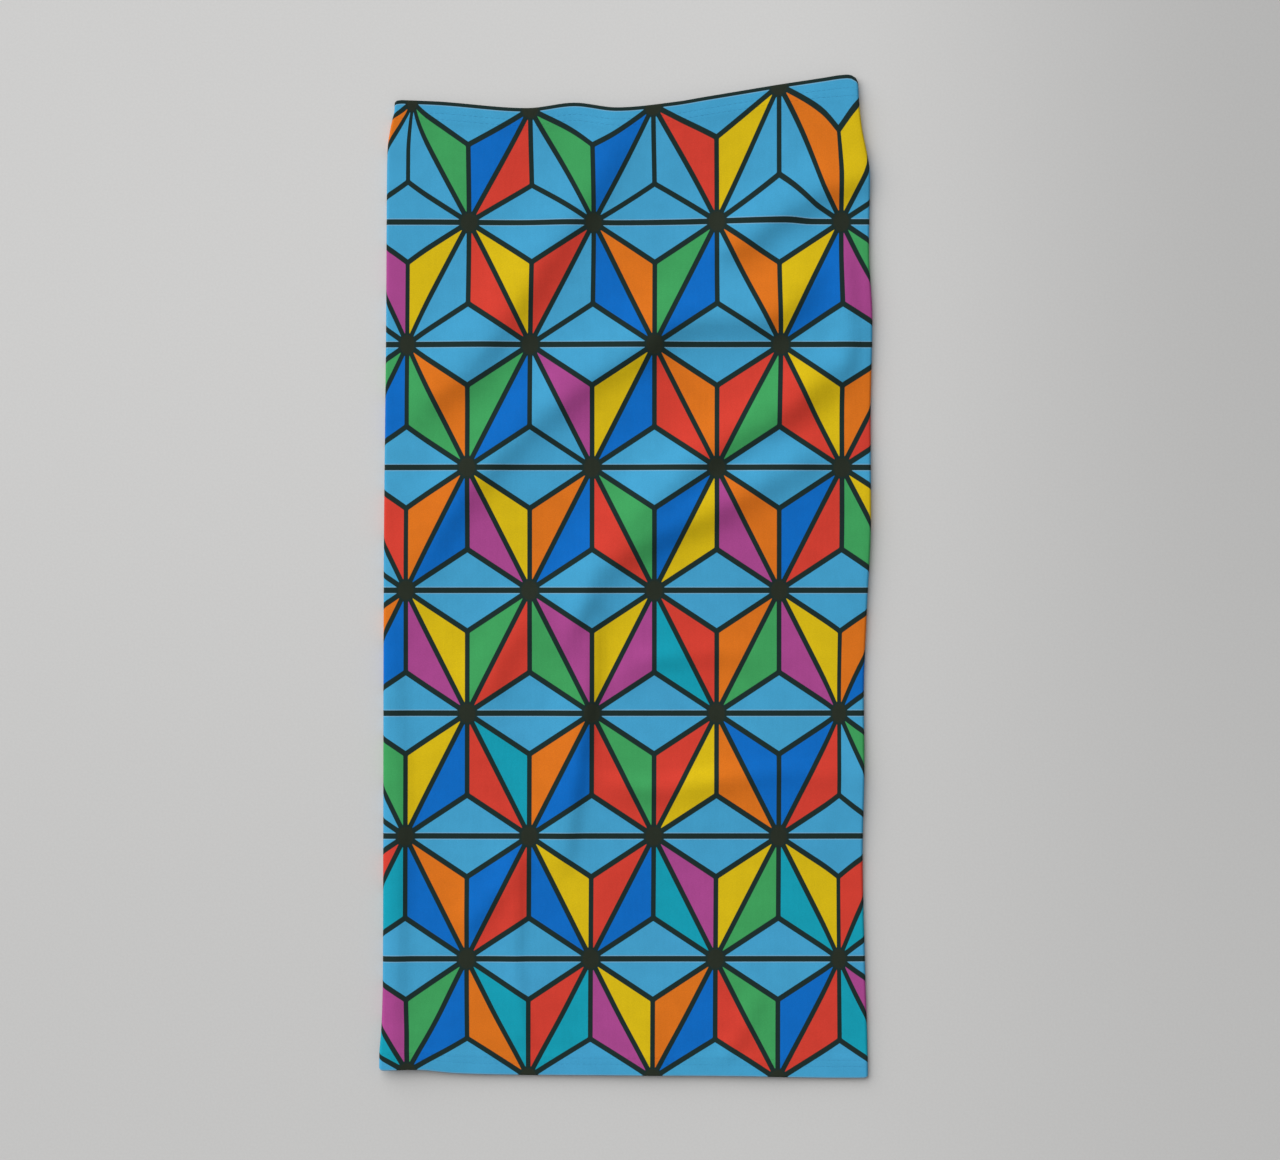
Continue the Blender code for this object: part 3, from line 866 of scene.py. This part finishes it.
def label_material():
    """Blank white satin ribbon with fine slanted ridges of weave."""
    material, graph, shader = new_material("white_label_satin", 0.42, sheen=0.1)
    split = graph.node("ShaderNodeSeparateXYZ")
    ribbon = graph.node("ShaderNodeAttribute", attribute_name="ribbon").outputs["Vector"]
    graph.plug(split.inputs[0], ribbon)
    slant = graph.math("ADD", split.outputs[0], graph.math("MULTIPLY", split.outputs[1], WEAVE_SLANT))
    weave = graph.math("SINE", graph.math("MULTIPLY", slant, 2 * math.pi / WEAVE))
    # Painted shade: the ribbon is darker between the ridges of its weave, following its relief.
    tone = graph.between(weave, -1.0, 1.0, 0.93, 1.0)
    graph.plug(shader.inputs["Base Color"], scaled(graph, LABEL_WHITE, tone))
    add_bump(graph, shader, weave, 0.03 * MM, 0.4)
    return material


def cut_edge_material():
    """Where the knit is cut: white yarn ends."""
    material, graph, shader = new_material("knit_cut_edge", 0.9, sheen=0.1)
    place = graph.node("ShaderNodeAttribute", attribute_name="cloth").outputs["Vector"]
    tone = graph.between(graph.noise(place, 1800.0), 0.3, 0.7, 0.8, 1.0)
    graph.plug(shader.inputs["Base Color"], scaled(graph, CUT_YARN, tone))
    return material


def table_material():
    """A matt pale board, painted a little darker to the right and towards the front as shade where
    the light falls off.
    """
    material, graph, shader = new_material("pale_table", 0.8)
    shader.inputs["Specular IOR Level"].default_value = 0.05
    place = graph.node("ShaderNodeTexCoord").outputs["Object"]
    split = graph.node("ShaderNodeSeparateXYZ")
    graph.plug(split.inputs[0], place)
    # Painted shade: the board darkens to the right, more so towards the back, and also darkens
    # towards the front.
    right = graph.between(split.outputs[0], 0.06, 0.34)
    front = graph.between(split.outputs[1], 0.2, -0.28)
    fall = graph.between(front, 0, 1, 0.155, 0.065, "LINEAR")
    painted_shade_right = graph.math("MULTIPLY", right, fall)
    tone = graph.math("SUBTRACT", graph.between(front, 0, 1, 0.615, 0.55, "LINEAR"), painted_shade_right)
    grain = graph.between(graph.noise(place, 900.0), 0.3, 0.7, 0.985, 1.015)
    tone = graph.math("MULTIPLY", tone, grain)
    graph.plug(shader.inputs["Base Color"], scaled(graph, TABLE_TINT, tone))
    return material


# ------------------------------------------------------------------ stage
FILL = 0.29
KEY = 3.35
KEY_RISE = 1.27  # of a key one metre to the left and one back: 42 degrees
KEY_SOFTNESS = 75  # how wide it looks, in degrees
TABLE_HALF = 4.0
TABLE_CLEAR = 0.05 * MM  # keeps the table's face off the lowest cloth and thread
CAMERA_X, CAMERA_Y, CAMERA_HEIGHT = 7.1 * MM, -2.0 * MM, 2.0
VIEW_WIDTH = 649 * MM  # how much of the table the picture takes in
SENSOR_WIDTH = 36.0


def build_table():
    half = TABLE_HALF
    corners = ((-half, -half, 0), (half, -half, 0), (half, half, 0), (-half, half, 0))
    table = add_mesh("table", corners, [(0, 1, 2, 3)], [table_material()])
    table.location.z = -TABLE_CLEAR
    return table


def light_stage():
    """A soft key from the upper left, and an even light from all round."""
    world = bpy.data.worlds.new("studio")
    bpy.context.scene.world = world
    world.use_nodes = True
    background = world.node_tree.nodes["Background"]
    background.inputs["Color"].default_value = (1.0, 1.0, 1.0, 1.0)
    background.inputs["Strength"].default_value = FILL
    data = bpy.data.lights.new("key", "SUN")
    data.energy = KEY
    data.angle = math.radians(KEY_SOFTNESS)
    key = bpy.data.objects.new("key", data)
    key.location = (-1.0, 1.0, KEY_RISE)
    key.rotation_euler = Vector(key.location).to_track_quat("Z", "Y").to_euler()
    bpy.context.scene.collection.objects.link(key)


def add_camera():
    """Straight above, a little right of the gaiter's middle, with a long lens."""
    data = bpy.data.cameras.new("camera")
    data.sensor_width = SENSOR_WIDTH
    data.lens = SENSOR_WIDTH * CAMERA_HEIGHT / VIEW_WIDTH
    data.clip_end = 100.0
    camera = bpy.data.objects.new("camera", data)
    camera.location = (CAMERA_X, CAMERA_Y, CAMERA_HEIGHT)
    bpy.context.scene.collection.objects.link(camera)
    bpy.context.scene.camera = camera


# ------------------------------------------------------------------ the gaiter
def sew_hem(end, at_bottom, printed_thread, thread):
    """The three threads of one hem's coverstitch."""
    pieces = {}
    for which, distance in zip(("outer", "inner"), HEM_NEEDLE_AT):
        name = f"{end}_hem_needle_thread_{which}"
        pieces[name] = hem_needle_thread("gaiter_" + name, distance, at_bottom, printed_thread)
    name = f"{end}_hem_looper_thread"
    pieces[name] = hem_looper_thread("gaiter_" + name, at_bottom, thread)
    return pieces


def sew_back_seam(thread):
    """The six threads of the flatlock seam."""
    pieces = {}
    for i in range(SEAM_NEEDLES):
        pieces[f"back_seam_needle_thread_{i + 1}"] = seam_needle_thread(i, thread)
    on_top = CLOTH + LOOPER_YARN
    pieces["back_seam_looper_thread"] = seam_crossing_thread(
        "gaiter_back_seam_looper_thread", on_top, HEM_DEPTH + 0.6 * MM, 0.0, thread
    )
    pieces["back_seam_cover_thread"] = seam_crossing_thread(
        "gaiter_back_seam_cover_thread", -LOOPER_YARN - NEEDLE_YARN, SEAM_ROW_END, 0.5, thread
    )
    return pieces


def build_gaiter():
    lattice = print_group()
    faces = [
        knit_material("printed_knit_face", lattice, 1.0),
        knit_material("knit_reverse", lattice, REVERSE_SHOWS),
        cut_edge_material(),
    ]
    panel = build_panel(faces)
    thread = thread_material("blue_sewing_thread")
    printed_thread = thread_material("printed_sewing_thread", lattice)
    threads = {}
    threads.update(sew_hem("top", False, printed_thread, thread))
    threads.update(sew_hem("bottom", True, printed_thread, thread))
    threads.update(sew_back_seam(thread))
    label = build_label(label_material())
    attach(panel, "root")
    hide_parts("knit_panel")
    for node, piece in threads.items():
        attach(piece, "root")
        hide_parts(node)
    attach(label, "root")
    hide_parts("care_label")
    return panel


table = build_table()
gaiter = build_gaiter()
light_stage()
add_camera()
bpy.context.scene.view_settings.view_transform = "Standard"
